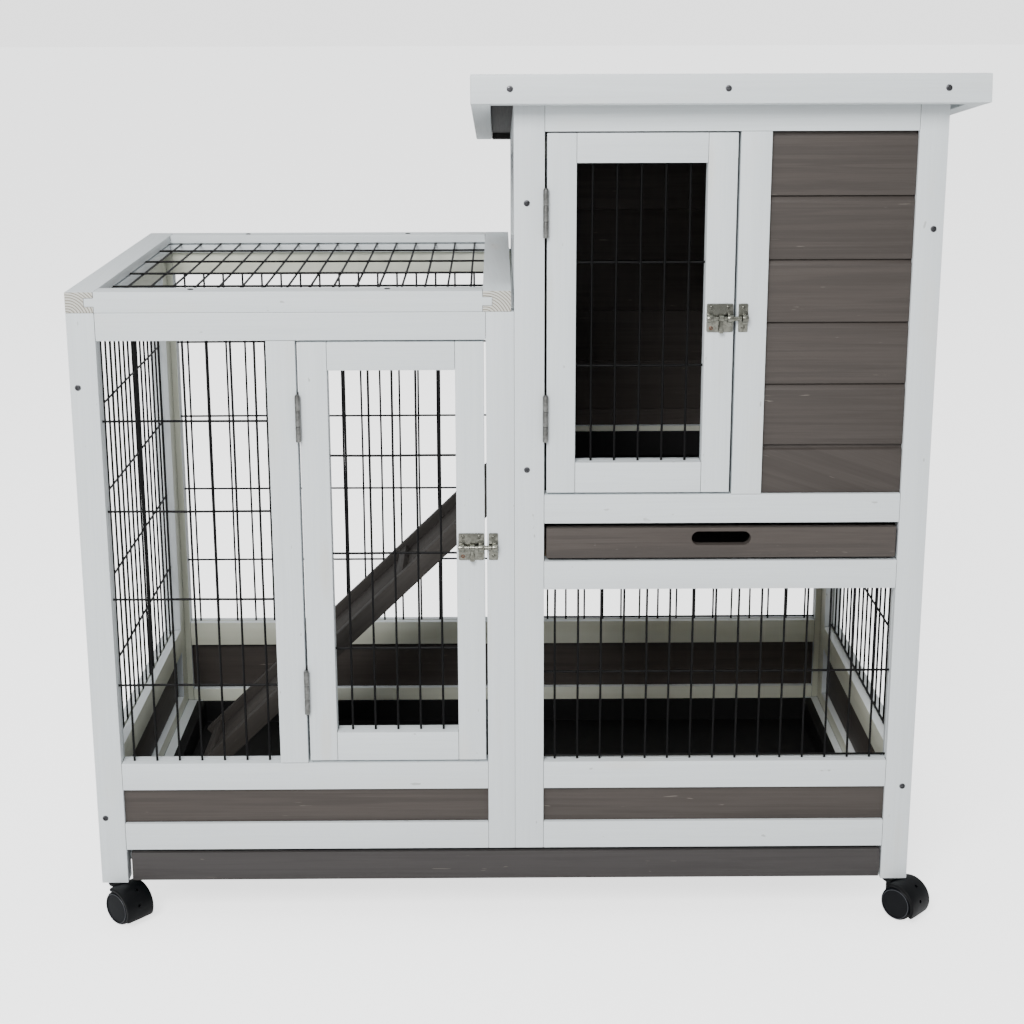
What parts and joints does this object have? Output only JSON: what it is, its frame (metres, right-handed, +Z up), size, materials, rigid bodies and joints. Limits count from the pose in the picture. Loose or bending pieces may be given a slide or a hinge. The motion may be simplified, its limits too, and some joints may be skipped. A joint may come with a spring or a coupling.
{
  "type": "rabbit hutch",
  "caption": "Rabbit hutch on casters: mesh run with a ramp beside a raised planked cabin, hinged doors and roof, sliding bolts and pull-out litter drawers.",
  "frame": {"origin": "on the floor, under the middle of the object's bounding box", "axes": "+X from the run towards the cabin, +Y from front to back, +Z up; the doors face -Y"},
  "size_m": [0.9572, 0.577, 0.9467],
  "materials": {
    "white_paint": "satin white paint over softwood",
    "taupe_stain": "grey-brown stain over softwood, grain showing",
    "plywood": "bare pale board",
    "black_wire": "black coated welded wire",
    "zinc": "bright zinc plating",
    "dark_screw": "dark plated steel",
    "roofing_felt": "mineral roofing felt, grainy",
    "dark_deck": "dark stained board",
    "tray_plastic": "black moulded plastic",
    "caster_plastic": "black nylon",
    "wheel_plastic": "black nylon tread"
  },
  "bodies": {
    "frame": {"run_front_frame": "white_paint", "run_side_frame": "white_paint", "run_back_frame": "white_paint", "cabin_front_frame": "white_paint", "cabin_side_frame": "white_paint", "cabin_back_frame": "white_paint", "inner_wall_frame": "white_paint", "base_planks": "taupe_stain", "cabin_front_planks": "taupe_stain", "cabin_side_planks": "taupe_stain", "cabin_back_planks": "taupe_stain", "inner_wall_planks": "taupe_stain", "run_front_mesh": "black_wire", "run_side_mesh": "black_wire", "run_back_mesh": "black_wire", "cabin_front_mesh": "black_wire", "cabin_side_mesh": "black_wire", "cabin_back_mesh": "black_wire", "cabin_floor": "plywood", "drawer_runners": "white_paint", "run_top_frame": "white_paint", "run_top_mesh": "black_wire", "frame_screws": "dark_screw", "hinge_frame_leaves": "zinc", "hinge_pins": "zinc", "latch_keepers": "zinc", "ramp_pivot": "zinc", "caster_stems": "zinc"},
    "roof": {"roof_deck": "dark_deck", "roof_felt": "roofing_felt", "roof_boards": "white_paint", "roof_back_board": "dark_deck", "roof_screws": "dark_screw", "roof_hinge_leaves": "zinc"},
    "run_door": {"run_door_frame": "white_paint", "run_door_mesh": "black_wire", "run_door_hinge_leaves": "zinc", "run_latch_plate": "zinc"},
    "run_bolt": {"run_latch_bolt": "zinc"},
    "run_knob": {"run_latch_knob": "zinc"},
    "cabin_door": {"cabin_door_frame": "white_paint", "cabin_door_mesh": "black_wire", "cabin_door_hinge_leaves": "zinc", "cabin_latch_plate": "zinc"},
    "cabin_bolt": {"cabin_latch_bolt": "zinc"},
    "cabin_knob": {"cabin_latch_knob": "zinc"},
    "cabin_drawer": {"cabin_drawer_front": "taupe_stain", "cabin_drawer_pan": "tray_plastic"},
    "litter_drawer": {"litter_drawer_front": "taupe_stain", "litter_drawer_pan": "tray_plastic"},
    "ramp": {"ramp_boards": "taupe_stain"},
    "caster_fl": {"caster_fl_hood": "caster_plastic"},
    "caster_fl_wheel": {"caster_fl_wheels": "wheel_plastic"},
    "caster_fr": {"caster_fr_hood": "caster_plastic"},
    "caster_fr_wheel": {"caster_fr_wheels": "wheel_plastic"},
    "caster_rl": {"caster_rl_hood": "caster_plastic"},
    "caster_rl_wheel": {"caster_rl_wheels": "wheel_plastic"},
    "caster_rr": {"caster_rr_hood": "caster_plastic"},
    "caster_rr_wheel": {"caster_rr_wheels": "wheel_plastic"}
  },
  "joints": [
    {"name": "run_door_hinge", "type": "hinge", "parent": "frame", "child": "run_door", "pos_m": [-0.2362, -0.2614, 0.4325], "axis": [0, 0, -1], "range_deg": [0, 165]},
    {"name": "run_bolt_slide", "type": "slide", "parent": "run_door", "child": "run_bolt", "axis": [1, 0, 0], "range_m": [-0.0056, 0.0036]},
    {"name": "run_knob_turn", "type": "hinge", "parent": "run_bolt", "child": "run_knob", "pos_m": [-0.0511, -0.2635, 0.4445], "axis": [-1, 0, 0], "range_deg": [0, 100]},
    {"name": "cabin_door_hinge", "type": "hinge", "parent": "frame", "child": "cabin_door", "pos_m": [0.0278, -0.2614, 0.696], "axis": [0, 0, -1], "range_deg": [0, 165]},
    {"name": "cabin_bolt_slide", "type": "slide", "parent": "cabin_door", "child": "cabin_bolt", "axis": [1, 0, 0], "range_m": [-0.0056, 0.0036]},
    {"name": "cabin_knob_turn", "type": "hinge", "parent": "cabin_bolt", "child": "cabin_knob", "pos_m": [0.2129, -0.2635, 0.6945], "axis": [-1, 0, 0], "range_deg": [0, 100]},
    {"name": "roof_hinge", "type": "hinge", "parent": "frame", "child": "roof", "pos_m": [0.2185, 0.2614, 0.84818], "axis": [-1, 0, 0], "range_deg": [0, 60]},
    {"name": "cabin_drawer_slide", "type": "slide", "parent": "frame", "child": "cabin_drawer", "axis": [0, -1, 0], "range_m": [0, 0.42]},
    {"name": "litter_drawer_slide", "type": "slide", "parent": "frame", "child": "litter_drawer", "axis": [0, -1, 0], "range_m": [0, 0.42]},
    {"name": "ramp_hinge", "type": "hinge", "parent": "frame", "child": "ramp", "pos_m": [-0.0175, 0, 0.4615], "axis": [0, 1, 0], "range_deg": [0, 8]},
    {"name": "caster_fl_swivel", "type": "hinge", "parent": "frame", "child": "caster_fl", "pos_m": [-0.4625, -0.247, 0.04], "axis": [0, 0, 1], "continuous": true},
    {"name": "caster_fl_roll", "type": "hinge", "parent": "caster_fl", "child": "caster_fl_wheel", "pos_m": [-0.44967, -0.25815, 0.02], "axis": [0.6561, 0.7547, 0], "continuous": true},
    {"name": "caster_fr_swivel", "type": "hinge", "parent": "frame", "child": "caster_fr", "pos_m": [0.4275, -0.247, 0.04], "axis": [0, 0, 1], "continuous": true},
    {"name": "caster_fr_roll", "type": "hinge", "parent": "caster_fr", "child": "caster_fr_wheel", "pos_m": [0.43993, -0.25859, 0.02], "axis": [0.682, 0.7314, 0], "continuous": true},
    {"name": "caster_rl_swivel", "type": "hinge", "parent": "frame", "child": "caster_rl", "pos_m": [-0.4625, 0.247, 0.04], "axis": [0, 0, 1], "continuous": true},
    {"name": "caster_rl_roll", "type": "hinge", "parent": "caster_rl", "child": "caster_rl_wheel", "pos_m": [-0.45955, 0.23026, 0.02], "axis": [0.9848, 0.1736, 0], "continuous": true},
    {"name": "caster_rr_swivel", "type": "hinge", "parent": "frame", "child": "caster_rr", "pos_m": [0.4275, 0.247, 0.04], "axis": [0, 0, 1], "continuous": true},
    {"name": "caster_rr_roll", "type": "hinge", "parent": "caster_rr", "child": "caster_rr_wheel", "pos_m": [0.43843, 0.23398, 0.02], "axis": [0.766, 0.6428, 0], "continuous": true}
  ]
}
